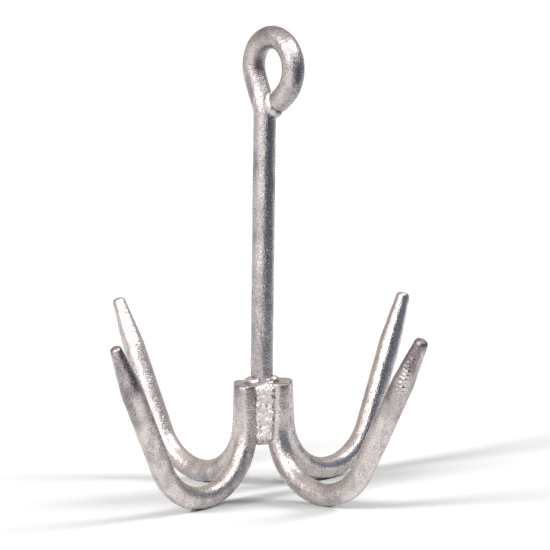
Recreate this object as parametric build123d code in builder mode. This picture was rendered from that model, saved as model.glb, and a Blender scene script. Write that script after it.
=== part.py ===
"""Fixed four-prong grapnel anchor, welded from round bar and hot-dip galvanised. Millimetres, +Z up.

The anchor stands on the bends of its four hooks. The origin is on the ground, in the middle of its
outline. +X is right and +Y is back. The rope eye is at the top and opens along Y.
"""

import os
from collections import namedtuple
from math import cos, radians, sin

from build123d import *

# Bar stock
BAR_D = 16
BAR_R = BAR_D / 2
CUT_ROUND = 1.0  # how far the zinc rounds a saw-cut edge

# Hooks
LEG = 30  # straight leg above the bend
BEND_R = 44.5  # centreline radius of the U bend
TAPER = 37  # forged length at the end of the arm
TIP_ROUND = 2.4  # rounding of the blunt end

# Shank and rope eye, measured along the shank from the ground
SHANK_FOOT = 37
SHANK_LEAN = 1.9  # degrees that the shank stands off square
SHANK_LEAN_HEADING = 45
SHANK_AT_ROOT = Vector(-1, 0, 65)  # the shank's axis passes through here
EYE_HEADING = -5  # the eye's plane is this far from the XZ plane
NECK_START = 278
NECK_R = 11
NECK_TURN = 25
NECK_STRAIGHT = 23
LOOP_R = 21.5
LOOP_TURN = 209
CLOSING_R = 25
CLOSING_TURN = 45
CLOSING_STRAIGHT = 10

# Welds: every run is a row of overlapping lumps
VALLEY_PITCH = 5.5
PASS_RISE = 0.26  # how much a pass stands out from the shank, for its distance from the middle
TOP_LUMP_R = 3.5
TOP_SHARE = 0.24  # place of a top run between the shank's surface and the leg's middle
TOP_SPREAD = 20  # degrees between the lumps of a top run
EYE_LUMP_R = 4.4

# How each hook came off the bender and sat in the jig. heading: its direction on the plan.
# swing: its foot thrown outward. side: its plane tipped sideways. reach: from the middle to the
# centre of the bend. lean: its arm from upright, before the swing. arm: straight arm with its taper.
# tip: radius of its blunt end.
Hook = namedtuple("Hook", "name heading swing side reach lean arm tip")
HOOKS = [
    Hook("right", 0.5, -2, -3, 59.5, 26, 111.5, 4.8),
    Hook("back", 86.5, 1.5, 0, 65, 25, 102.5, 4.8),
    Hook("left", 181, 2.5, 1, 63.5, 28, 105.5, 4.6),
    Hook("front", 270, -1, 0, 61.5, 23, 104.5, 4.1),
]

# A valley run lies between two legs. top: height of its first lumps. wander: how far its lumps stray
# towards the first leg, from the top down. passes: its side-by-side columns of lumps, each as its
# distance from the valley's middle towards the first leg, and its radius.
Valley = namedtuple("Valley", "name first second top wander passes")
VALLEYS = [
    Valley("front_right", 0, 3, 79, (0, 1, 0.5, 1.2, 0.4, 0, -0.5), ((-2.5, 5.2), (2.2, 6.2), (6.6, 6.2))),
    Valley("back_right", 1, 0, 75.5, (1, 0, 1, 0, -1), ((0, 6.6), (4.2, 6.2))),
    Valley("back_left", 2, 1, 75.5, (-1, 0, -1, 1, 0), ((-2, 6.3), (2, 6.3))),
    Valley("front_left", 3, 2, 75.5, (0, 1, -1, 0, 1), ((-4, 6.3), (1.5, 6.3))),
]

# The eye's weld: each lump's place out from the shank's axis, along it, and to the back
EYE_LUMPS = [
    (8.6, 291, -2.4),
    (9.2, 287.5, -3.3),
    (10.3, 284, -2.8),
    (12, 281.5, 0),
    (10.5, 284.5, 4),
    (9.2, 289.5, 4.4),
]


def hook_plane(hook):
    """Plane of a hook: its origin at the centre of the bend, x outward, y up."""
    out = Vector(1, 0, 0).rotate(Axis.Z, hook.heading)
    centre = out * hook.reach + Vector(0, 0, BAR_R + BEND_R * cos(radians(hook.side)))
    upright = Plane(origin=centre, x_dir=out, z_dir=out.cross(Vector(0, 0, 1)))
    return Plane(upright.location * Rotation(hook.side, 0, hook.swing))


def shank_plane():
    """Plane of the shank and eye: x towards the eye's bulge, y along the shank from the ground."""
    lean = Vector(sin(radians(SHANK_LEAN)), 0, cos(radians(SHANK_LEAN)))
    along = lean.rotate(Axis.Z, SHANK_LEAN_HEADING)
    out = Vector(1, 0, 0).rotate(Axis.Z, EYE_HEADING)
    normal = out.cross(along).normalized()
    return Plane(origin=SHANK_AT_ROOT - along * SHANK_AT_ROOT.Z, x_dir=along.cross(normal), z_dir=normal)


def leg_point(hook, height):
    """Point on the middle of a hook's leg at a height above the ground."""
    plane = hook_plane(hook)
    top = plane.from_local_coords((-BEND_R, LEG))
    down = plane.from_local_coords((-BEND_R, 0)) - top
    return top + down * ((height - top.Z) / down.Z)


def shank_point(height):
    """Point on the shank's axis at a height above the ground."""
    plane = shank_plane()
    return plane.origin + plane.y_dir * ((height - plane.origin.Z) / plane.y_dir.Z)


os.makedirs("parts", exist_ok=True)

# Shank: the straight bar, a neck bent back, the loop, and the closing stretch down to the shank
with BuildPart() as shank:
    with BuildLine(shank_plane()) as shank_path:
        straight = Line((0, SHANK_FOOT), (0, NECK_START))
        neck = JernArc(straight @ 1, straight % 1, NECK_R, NECK_TURN)
        neck_bar = Line(neck @ 1, neck @ 1 + (neck % 1) * NECK_STRAIGHT)
        loop = JernArc(neck_bar @ 1, neck_bar % 1, LOOP_R, -LOOP_TURN)
        closing = JernArc(loop @ 1, loop % 1, CLOSING_R, -CLOSING_TURN)
        Line(closing @ 1, closing @ 1 + (closing % 1) * CLOSING_STRAIGHT)
    with BuildSketch(shank_path.line ^ 0):
        Circle(BAR_R)
    sweep()
    fillet(shank.faces().filter_by(GeomType.PLANE).edges(), CUT_ROUND)
shank.part.label = "shank"
export_step(shank.part, "parts/shank.step")

# Hooks: leg, bend and arm in one bar, drawn down to a blunt point
hooks = []
for hook in HOOKS:
    plane = hook_plane(hook)
    with BuildPart() as bar:
        with BuildLine(plane) as path:
            leg = Line((-BEND_R, LEG), (-BEND_R, 0))
            bend = JernArc(leg @ 1, leg % 1, BEND_R, 180 - hook.lean)
            Line(bend @ 1, bend @ 1 + (bend % 1) * (hook.arm - TAPER))
        with BuildSketch(path.line ^ 0):
            Circle(BAR_R)
        sweep()
        fillet(bar.faces().filter_by(GeomType.PLANE).sort_by(Axis.Z)[-1].edges(), CUT_ROUND)
        point = Plane(origin=path.line @ 1, x_dir=path.line % 1, z_dir=plane.z_dir)
        with BuildSketch(point):
            with BuildLine():
                Polyline((0, 0), (0, BAR_R), (TAPER, hook.tip), (TAPER, 0), close=True)
            make_face()
        revolve(axis=Axis(point.origin, point.x_dir))
        fillet(bar.faces().filter_by(GeomType.PLANE).sort_by(Axis.Z)[-1].edges(), TIP_ROUND)
    bar.part.label = f"hook_{hook.name}"
    export_step(bar.part, f"parts/hook_{hook.name}.step")
    hooks.append(bar.part)

# Valley runs: each fills the valley between two legs and the shank
valleys = []
for valley in VALLEYS:
    with BuildPart() as run:
        for step, wander in enumerate(valley.wander):
            height = valley.top - step * VALLEY_PITCH
            first = leg_point(HOOKS[valley.first], height)
            second = leg_point(HOOKS[valley.second], height)
            middle = (first + second) / 2
            across = (first - second).normalized()
            out = (middle - shank_point(height)).normalized()
            for distance, radius in valley.passes:
                with Locations(middle + across * (wander + distance) + out * abs(distance) * PASS_RISE):
                    Sphere(radius)
        for neighbour in (shank.part, hooks[valley.first], hooks[valley.second]):
            add(neighbour, mode=Mode.SUBTRACT)
    run.part.label = f"weld_{valley.name}"
    export_step(run.part, f"parts/weld_{valley.name}.step")
    valleys.append(run.part)

# Top runs: each lies on the cut top of a leg, round the side of the shank
for hook, bar in zip(HOOKS, hooks):
    top = hook_plane(hook).from_local_coords((-BEND_R, LEG))
    middle = shank_point(top.Z)
    offset = (top - middle) * (1 - BAR_R / (top - middle).length) * TOP_SHARE
    start = (top - middle).normalized() * BAR_R + offset
    with BuildPart() as run:
        for side in (-1, 0, 1):
            with Locations(middle + start.rotate(Axis.Z, side * TOP_SPREAD)):
                Sphere(TOP_LUMP_R)
        for neighbour in (bar, *valleys, shank.part):
            add(neighbour, mode=Mode.SUBTRACT)
    run.part.label = f"weld_top_{hook.name}"
    export_step(run.part, f"parts/weld_top_{hook.name}.step")

# Eye weld: closes the cut end of the eye onto the shank
with BuildPart() as eye_weld:
    for out, along, back in EYE_LUMPS:
        with Locations(shank_plane().from_local_coords((out, along, -back))):
            Sphere(EYE_LUMP_R)
    add(shank.part, mode=Mode.SUBTRACT)
eye_weld.part.label = "weld_eye"
export_step(eye_weld.part, "parts/weld_eye.step")
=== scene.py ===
"""Boat anchor: a fixed four-prong grapnel of hot-dip galvanised round bar. Metres, +Z up.

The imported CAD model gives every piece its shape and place. Here each bar and each weld becomes a finely
divided mesh with the surface that hammer, welding rod and zinc bath leave, and a zinc material.
"""

from collections import namedtuple
from math import cos, pi, radians, sin, tan

import bmesh
import bpy
import numpy as np
from mathutils import Matrix, Vector, noise


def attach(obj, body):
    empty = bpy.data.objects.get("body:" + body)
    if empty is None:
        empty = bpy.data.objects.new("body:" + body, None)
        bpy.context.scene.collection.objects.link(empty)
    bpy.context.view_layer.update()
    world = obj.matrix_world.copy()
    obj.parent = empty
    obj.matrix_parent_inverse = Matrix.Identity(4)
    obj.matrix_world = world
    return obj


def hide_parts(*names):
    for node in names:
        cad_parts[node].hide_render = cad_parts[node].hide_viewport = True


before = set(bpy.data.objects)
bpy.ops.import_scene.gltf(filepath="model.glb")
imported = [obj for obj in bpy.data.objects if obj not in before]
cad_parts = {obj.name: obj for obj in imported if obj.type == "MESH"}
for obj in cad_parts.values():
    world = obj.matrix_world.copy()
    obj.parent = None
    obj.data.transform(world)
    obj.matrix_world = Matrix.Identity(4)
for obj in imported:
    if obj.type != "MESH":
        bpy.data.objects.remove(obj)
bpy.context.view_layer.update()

MM = 0.001

# Camera: azimuth 0 looks along +Y, and the object's middle is the point that it goes round
CAMERA_AZIMUTH = 44.34
CAMERA_ELEVATION = 9.24
CAMERA_ROLL = -1.27
CAMERA_DISTANCE = 2.265
CAMERA_LENS = 205.2
CAMERA_SHIFT = (0.0287, -0.0216)
MIDDLE = Vector((0, 0, 0.17))

# Meshes
BAR_VOXEL = 0.8 * MM
WELD_VOXEL = 0.5 * MM
BAR_SOFTENING = 16
BAR_SWELLING = 0.2 * MM
WELD_SOFTENING = 110
WELD_SWELLING = 1.05 * MM

# Teeth marks on the right hook's arm, in millimetres
VICE_MARKS_START = Vector((134.4, -3.7, 89))
VICE_MARKS_END = Vector((147, -0.2, 125))
VICE_MARKS_HALF = 4.2
VICE_MARKS_PITCH = 3.2
VICE_MARKS_RISE = 1.1
VICE_MARKS_FADE = 5  # a fifth of the row fades in at each end

# Surroundings: azimuths here are measured to the right of the camera
FLOOR_HALF = 30
FLOOR_DARK = (0.215, 0.215, 0.215)
FLOOR_LIGHT = (0.225, 0.225, 0.225)
LIGHT_DISTANCE = 9
Softbox = namedtuple("Softbox", "name azimuth elevation wide high radiance colour")
SOFTBOXES = [
    Softbox("key_softbox", -38, 28, 54, 36, 2.4, (1.0, 0.99, 0.98)),
    Softbox("fill_softbox", 60, 56, 60, 32, 2.8, (0.97, 0.985, 1.0)),
]
Lamp = namedtuple("Lamp", "name azimuth elevation spread strength")
FLOOR_LAMPS = [
    Lamp("left_lamp", -62, 30, 22, 12.6),
    Lamp("right_lamp", 100, 29, 24, 10.1),
]
ROOM_LIGHT = (0.66, 0.59, 0.55)
CEILING_LIGHT = (1.1, 1.1, 1.1)
CEILING = (14, 52)
Board = namedtuple("Board", "name start end foot top tone glow")
BOARDS = [
    Board("flag", 9, 115, 0.005, 0.47, (0.045, 0.055, 0.075), 0.0),
    Board("reflector", -64, -16, 0.13, 0.22, (0.5, 0.48, 0.48), 0.1),
]
BOARD_DISTANCE = 0.33
BOARD_STEPS = 24


def direction(azimuth, elevation):
    """Unit vector from the object. The azimuth is to the right of the camera's, and both are in degrees."""
    turn = radians(CAMERA_AZIMUTH + azimuth)
    rise = radians(elevation)
    return Vector((sin(turn) * cos(rise), -cos(turn) * cos(rise), sin(rise)))


# ---------------------------------------------------------------- camera, floor and lights


def make_camera():
    """Long lens, a little above the hooks, with the slight roll of a hand-held shot."""
    back = direction(0, CAMERA_ELEVATION)
    level = Vector((0, 0, 1)).cross(back).normalized()
    upright = back.cross(level)
    roll = radians(CAMERA_ROLL)
    right = level * cos(roll) + upright * sin(roll)
    up = upright * cos(roll) - level * sin(roll)
    lens = bpy.data.cameras.new("camera")
    lens.lens = CAMERA_LENS
    lens.shift_x, lens.shift_y = CAMERA_SHIFT
    lens.clip_end = 100
    camera = bpy.data.objects.new("camera", lens)
    camera.matrix_world = Matrix((right, up, back)).transposed().to_4x4()
    camera.location = MIDDLE + back * CAMERA_DISTANCE
    bpy.context.scene.collection.objects.link(camera)
    bpy.context.scene.camera = camera


def make_floor():
    """Wide, plain, pale floor."""
    mesh = bpy.data.meshes.new("floor")
    s = FLOOR_HALF
    mesh.from_pydata([(-s, -s, 0), (s, -s, 0), (s, s, 0), (-s, s, 0)], [], [(0, 1, 2, 3)])
    floor = bpy.data.objects.new("floor", mesh)
    bpy.context.scene.collection.objects.link(floor)
    floor.data.materials.append(paper_white("floor_paper"))


def make_softbox(box):
    """Large rectangular light that faces the object."""
    lamp = bpy.data.lights.new(box.name, "AREA")
    lamp.shape = "RECTANGLE"
    lamp.size = 2 * LIGHT_DISTANCE * tan(radians(box.wide / 2))
    lamp.size_y = 2 * LIGHT_DISTANCE * tan(radians(box.high / 2))
    lamp.color = box.colour
    lamp.energy = 4 * box.radiance * lamp.size * lamp.size_y
    light = bpy.data.objects.new(box.name, lamp)
    toward = direction(box.azimuth, box.elevation)
    light.location = MIDDLE + toward * LIGHT_DISTANCE
    light.rotation_mode = "QUATERNION"
    light.rotation_quaternion = toward.to_track_quat("Z", "Y")
    bpy.context.scene.collection.objects.link(light)


def make_floor_lamp(source):
    """Distant lamp that lights the floor and casts the shadows on it, but doesn't show in the metal."""
    lamp = bpy.data.lights.new(source.name, "SUN")
    lamp.energy = source.strength
    lamp.angle = radians(source.spread)
    light = bpy.data.objects.new(source.name, lamp)
    light.rotation_mode = "QUATERNION"
    light.rotation_quaternion = direction(source.azimuth, source.elevation).to_track_quat("Z", "Y")
    light.visible_glossy = False
    bpy.context.scene.collection.objects.link(light)


def make_board(board):
    """Curved board, as photographers stand beside metal, which only the metal sees."""
    places = []
    for step in range(BOARD_STEPS + 1):
        azimuth = board.start + (board.end - board.start) * step / BOARD_STEPS
        side = direction(azimuth, 0) * BOARD_DISTANCE
        places += [side + Vector((0, 0, board.foot)), side + Vector((0, 0, board.top))]
    faces = [(2 * i, 2 * i + 2, 2 * i + 3, 2 * i + 1) for i in range(BOARD_STEPS)]
    mesh = bpy.data.meshes.new(board.name)
    mesh.from_pydata(places, [], faces)
    piece = bpy.data.objects.new(board.name, mesh)
    bpy.context.scene.collection.objects.link(piece)
    material, tree, shader = new_material(board.name + "_card")
    tone = ranged(tree, clouds(tree, 0.2), (0.3, 0.7), (0, 1))
    darker = tuple(0.9 * c for c in board.tone)
    tree.links.new(mixed(tree, tone, darker, board.tone), shader.inputs["Base Color"])
    shader.inputs["Roughness"].default_value = 1
    shader.inputs["Emission Color"].default_value = (1, 1, 1, 1)
    shader.inputs["Emission Strength"].default_value = board.glow
    piece.data.materials.append(material)
    piece.visible_camera = False
    piece.visible_shadow = False
    piece.visible_diffuse = False


def make_room():
    """Pale, slightly warm room with a bright ceiling above the camera's side."""
    world = bpy.data.worlds.new("room")
    bpy.context.scene.world = world
    world.use_nodes = True
    tree = world.node_tree
    place = add(tree, "ShaderNodeTexCoord")
    nearness = add(tree, "ShaderNodeVectorMath", operation="DOT_PRODUCT")
    nearness.inputs[1].default_value = direction(*CEILING)
    tree.links.new(place.outputs["Generated"], nearness.inputs[0])
    share = ranged(tree, nearness.outputs["Value"], (0.2, 0.95), (0, 1))
    light = mixed(tree, share, ROOM_LIGHT, CEILING_LIGHT)
    tree.links.new(light, tree.nodes["Background"].inputs["Color"])


# ---------------------------------------------------------------- shader helpers


def add(tree, kind, **settings):
    """New node. A setting is a property of the node, or else the value of an input of that name."""
    made = tree.nodes.new(kind)
    for name, value in settings.items():
        if hasattr(made, name):
            setattr(made, name, value)
        else:
            made.inputs[name.replace("_", " ").title()].default_value = value
    return made


def mixed(tree, share, first, second):
    """Colour between two others. Each one is a colour or a socket."""
    mix = add(tree, "ShaderNodeMix", data_type="RGBA")
    tree.links.new(share, mix.inputs["Factor"])
    for socket, colour in ((mix.inputs[6], first), (mix.inputs[7], second)):
        if isinstance(colour, tuple):
            socket.default_value = (*colour, 1)
        else:
            tree.links.new(colour, socket)
    return mix.outputs[2]


def ranged(tree, value, source, target):
    """A value's source range spread over the target range, with soft ends."""
    spread = add(tree, "ShaderNodeMapRange", interpolation_type="SMOOTHSTEP")
    tree.links.new(value, spread.inputs["Value"])
    spread.inputs["From Min"].default_value, spread.inputs["From Max"].default_value = source
    spread.inputs["To Min"].default_value, spread.inputs["To Max"].default_value = target
    return spread.outputs["Result"]


def clouds(tree, grain, detail=3, stretch=(1, 1, 1), shift=0):
    """Noise whose features are about grain metres across, longer along an axis where stretch is over 1."""
    place = add(tree, "ShaderNodeTexCoord")
    sized = add(tree, "ShaderNodeMapping")
    sized.inputs["Location"].default_value = (shift, -shift, shift)
    sized.inputs["Scale"].default_value = tuple(1 / s for s in stretch)
    cloud = add(tree, "ShaderNodeTexNoise", scale=1 / grain, detail=detail)
    tree.links.new(place.outputs["Object"], sized.inputs["Vector"])
    tree.links.new(sized.outputs["Vector"], cloud.inputs["Vector"])
    return cloud.outputs["Fac"]


def cells(tree, grain):
    """Distance to the nearest of scattered points, about grain metres apart."""
    place = add(tree, "ShaderNodeTexCoord")
    cell = add(tree, "ShaderNodeTexVoronoi", scale=1 / grain)
    tree.links.new(place.outputs["Object"], cell.inputs["Vector"])
    return cell.outputs["Distance"]


def summed(tree, *weighted):
    """Sum of (socket, weight) pairs."""
    total = None
    for value, weight in weighted:
        step = add(tree, "ShaderNodeMath", operation="MULTIPLY_ADD")
        tree.links.new(value, step.inputs[0])
        step.inputs[1].default_value = weight
        if total is None:
            step.inputs[2].default_value = 0
        else:
            tree.links.new(total, step.inputs[2])
        total = step.outputs[0]
    return total


def bumped(tree, height, distance):
    """Surface direction for a height field, whose height of 1 stands distance metres out."""
    bump = add(tree, "ShaderNodeBump", strength=1, distance=distance)
    tree.links.new(height, bump.inputs["Height"])
    return bump.outputs["Normal"]


def new_material(name):
    """Empty node material, with its tree and its shader."""
    material = bpy.data.materials.new(name)
    material.use_nodes = True
    tree = material.node_tree
    return material, tree, tree.nodes["Principled BSDF"]


# ---------------------------------------------------------------- materials


def paper_white(name):
    """Matt white background paper."""
    material, tree, shader = new_material(name)
    tone = ranged(tree, clouds(tree, 0.9), (0.3, 0.7), (0, 1))
    colour = mixed(tree, tone, FLOOR_DARK, FLOOR_LIGHT)
    tree.links.new(colour, shader.inputs["Base Color"])
    shader.inputs["Roughness"].default_value = 0.9
    shader.inputs["Specular IOR Level"].default_value = 0.1
    return material


# pale, grey: colours of the mottled zinc. stain, stain_from: colour of its stains, which also paints shade,
# and how rarely they come.
# dusk: painted shade, how strongly the stain colour darkens the bar from the height PAINTED_SHADE_BOTTOM up
# to PAINTED_SHADE_TOP. polish: roughness.
# grit: depth of its grain. shift: moves its pattern, so that no two bars look alike.
Zinc = namedtuple("Zinc", "name pale grey stain stain_from dusk polish grit shift")
PALE = (0.67, 0.615, 0.59)
GREY = (0.355, 0.33, 0.355)
SHANK_PALE = (0.54, 0.50, 0.49)
SHANK_GREY = (0.27, 0.26, 0.285)
WELD_PALE = (0.68, 0.64, 0.63)
WELD_GREY = (0.42, 0.39, 0.405)
# Colour of the stains and pits, and also of the painted shade on the front hooks' upper arms.
STAIN_AND_PAINTED_SHADE = (0.19, 0.155, 0.17)
ZINCS = {
    "shank": Zinc("zinc_on_shank", SHANK_PALE, SHANK_GREY, STAIN_AND_PAINTED_SHADE, 0.58, 0.0, 0.22, 0.20, 0.0),
    "hook_right": Zinc("zinc_on_hook_right", PALE, GREY, STAIN_AND_PAINTED_SHADE, 0.60, 0.85, 0.24, 0.14, 0.9),
    "hook_back": Zinc("zinc_on_hook_back", PALE, GREY, STAIN_AND_PAINTED_SHADE, 0.62, 0.0, 0.20, 0.12, 1.8),
    "hook_left": Zinc("zinc_on_hook_left", PALE, GREY, STAIN_AND_PAINTED_SHADE, 0.62, 0.0, 0.24, 0.13, 2.7),
    "hook_front": Zinc("zinc_on_hook_front", PALE, GREY, STAIN_AND_PAINTED_SHADE, 0.60, 0.90, 0.22, 0.14, 3.6),
    "weld": Zinc("zinc_on_weld", WELD_PALE, WELD_GREY, STAIN_AND_PAINTED_SHADE, 0.60, 0.0, 0.22, 0.16, 4.5),
}
# Heights between which the painted shade grows darker towards the top.
PAINTED_SHADE_BOTTOM = 0.04
PAINTED_SHADE_TOP = 0.115


def zinc(look):
    """Zinc from a hot bath: mottled crystal grain, darker stains, painted shade that darkens it upwards,
    fine grit and small pits.
    """
    material, tree, shader = new_material(look.name)
    mottle = clouds(tree, 9 * MM, detail=5, stretch=(1, 1, 1.6), shift=look.shift)
    fleck = clouds(tree, 1.1 * MM, detail=2, shift=look.shift)
    stain = clouds(tree, 15 * MM, detail=6, stretch=(1, 1, 2.4), shift=look.shift + 0.7)
    pit = cells(tree, 4.5 * MM)
    crystal = summed(tree, (mottle, 0.5), (fleck, 0.5))
    paleness = ranged(tree, crystal, (0.35, 0.57), (0, 1))
    colour = mixed(tree, paleness, look.grey, look.pale)
    patchy = summed(tree, (stain, 0.6), (fleck, 0.4))
    # Painted shade: the stain colour darkens the bar more towards the top, on the two front hooks' arms.
    if look.dusk:
        place = add(tree, "ShaderNodeTexCoord")
        axes = add(tree, "ShaderNodeSeparateXYZ")
        tree.links.new(place.outputs["Object"], axes.inputs["Vector"])
        high = ranged(tree, axes.outputs["Z"], (PAINTED_SHADE_BOTTOM, PAINTED_SHADE_TOP), (0, 0.19 * look.dusk))
        patchy = summed(tree, (patchy, 1), (high, 1))
    # Mask of the stains together with the painted shade.
    stain_and_painted_shade = ranged(tree, patchy, (look.stain_from - 0.06, look.stain_from + 0.12), (0, 0.9))
    colour = mixed(tree, stain_and_painted_shade, colour, look.stain)
    colour = mixed(tree, ranged(tree, pit, (0.05, 0.14), (0.7, 0)), colour, look.stain)
    tree.links.new(colour, shader.inputs["Base Color"])
    dull = ranged(tree, crystal, (0.35, 0.65), (look.polish + 0.12, look.polish - 0.03))
    tree.links.new(dull, shader.inputs["Roughness"])
    shader.inputs["Metallic"].default_value = 1
    grit = clouds(tree, 0.9 * MM, detail=2, shift=look.shift + 1.1)
    ripple = clouds(tree, 3.2 * MM, detail=3, stretch=(1, 1, 1.8), shift=look.shift + 2.3)
    hollow = ranged(tree, pit, (0.04, 0.18), (-0.5, 0))
    height = summed(tree, (grit, 0.6), (ripple, 0.8), (hollow, 0.6))
    tree.links.new(bumped(tree, height, look.grit * MM * 3), shader.inputs["Normal"])
    return material


# ---------------------------------------------------------------- meshes


def fine_copy(name, node, voxel, softening, swelling):
    """Finely divided copy of a CAD node, with softened edges, pushed out by swelling metres."""
    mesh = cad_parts[node].data.copy()
    mesh.materials.clear()
    form = bmesh.new()
    form.from_mesh(mesh)
    bmesh.ops.remove_doubles(form, verts=form.verts, dist=0.001 * MM)
    form.to_mesh(mesh)
    form.free()
    piece = bpy.data.objects.new(name, mesh)
    bpy.context.scene.collection.objects.link(piece)
    remesh = piece.modifiers.new("remesh", "REMESH")
    remesh.mode = "VOXEL"
    remesh.voxel_size = voxel
    remesh.use_smooth_shade = True
    soften = piece.modifiers.new("soften", "SMOOTH")
    soften.factor = 0.5
    soften.iterations = softening
    swell = piece.modifiers.new("swell", "DISPLACE")
    swell.strength = swelling
    swell.mid_level = 0
    depsgraph = bpy.context.evaluated_depsgraph_get()
    piece.data = bpy.data.meshes.new_from_object(piece.evaluated_get(depsgraph))
    piece.modifiers.clear()
    piece.data.name = name
    return piece


def move_skin(piece, rise):
    """Moves each vertex along its normal by rise(place in millimetres), in millimetres."""
    mesh = piece.data
    count = len(mesh.vertices)
    places = np.empty(count * 3, np.float32)
    mesh.vertices.foreach_get("co", places)
    normals = np.empty(count * 3, np.float32)
    mesh.vertex_normals.foreach_get("vector", normals)
    places = places.reshape(-1, 3)
    rises = np.array([rise(Vector(p) / MM) for p in places.tolist()], np.float32)
    places += normals.reshape(-1, 3) * rises[:, None] * np.float32(MM)
    mesh.vertices.foreach_set("co", places.ravel())
    mesh.update()


def bar_skin(place):
    """Skin of a rolled and bent bar: slow waves, drawn-out runs of zinc, and a little grit."""
    waves = 0.18 * noise.noise(place / 17)
    runs = 0.10 * noise.noise(Vector((place.x / 4.5, place.y / 4.5, place.z / 26)))
    lumps = 0.05 * noise.noise(place / 4.8 + Vector((40, 0, 0)))
    grit = 0.04 * noise.noise(place / 1.9)
    return waves + runs + lumps + grit


def vice_marks(place):
    """Teeth marks of the vice, a row of sharp ribs up one side of the right hook's arm."""
    along = place - VICE_MARKS_START
    up = VICE_MARKS_END - VICE_MARKS_START
    share = along.dot(up) / up.length_squared
    aside = (along - up * share).length
    if not 0 < share < 1 or aside > VICE_MARKS_HALF:
        return 0.0
    sides = 1 - (aside / VICE_MARKS_HALF) ** 2
    fade = sides * min(1.0, VICE_MARKS_FADE * share, VICE_MARKS_FADE * (1 - share))
    phase = share * up.length / VICE_MARKS_PITCH + 0.35 * noise.noise(place / 3)
    ribs = abs(sin(pi * phase)) - 0.5
    crumbs = 0.6 * noise.noise(place / 2.2)
    return VICE_MARKS_RISE * fade * (ribs + crumbs)


def weld_skin(place):
    """Skin of a weld run: lumps, small beads and grit."""
    lumps = 0.60 * noise.noise(place / 5.1 + Vector((0, 70, 0)))
    beads = 0.36 * noise.noise(place / 2.0)
    grit = 0.16 * noise.noise(place / 1.1)
    return lumps + beads + grit


def smooth_weld_skin(place):
    """Skin of the eye's weld, which the zinc has almost levelled."""
    return 0.3 * weld_skin(place)


def make_bar(node):
    """Shank or hook, in zinc."""
    piece = fine_copy(f"galvanised_{node}", node, BAR_VOXEL, BAR_SOFTENING, BAR_SWELLING)
    move_skin(piece, bar_skin)
    if node == "hook_right":
        move_skin(piece, vice_marks)
    finish_piece(piece, node, zinc(ZINCS[node]))


def make_weld(node, material):
    """One weld run, a little into the bars that it joins."""
    if node == "weld_eye":
        piece = fine_copy(f"galvanised_{node}", node, WELD_VOXEL, WELD_SOFTENING, WELD_SWELLING)
        move_skin(piece, smooth_weld_skin)
    else:
        piece = fine_copy(f"galvanised_{node}", node, WELD_VOXEL, WELD_SOFTENING, WELD_SWELLING)
        move_skin(piece, weld_skin)
    finish_piece(piece, node, material)


def finish_piece(piece, node, material):
    """Gives a piece its material, and has it stand for its CAD node."""
    piece.data.materials.clear()
    piece.data.materials.append(material)
    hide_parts(node)
    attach(piece, "root")


make_camera()
make_floor()
make_room()
for card in BOARDS:
    make_board(card)
for softbox in SOFTBOXES:
    make_softbox(softbox)
for floor_lamp in FLOOR_LAMPS:
    make_floor_lamp(floor_lamp)

weld_zinc = zinc(ZINCS["weld"])
for cad_node in sorted(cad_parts):
    if cad_node.startswith("weld"):
        make_weld(cad_node, weld_zinc)
    else:
        make_bar(cad_node)

bpy.context.scene.view_settings.view_transform = "Standard"
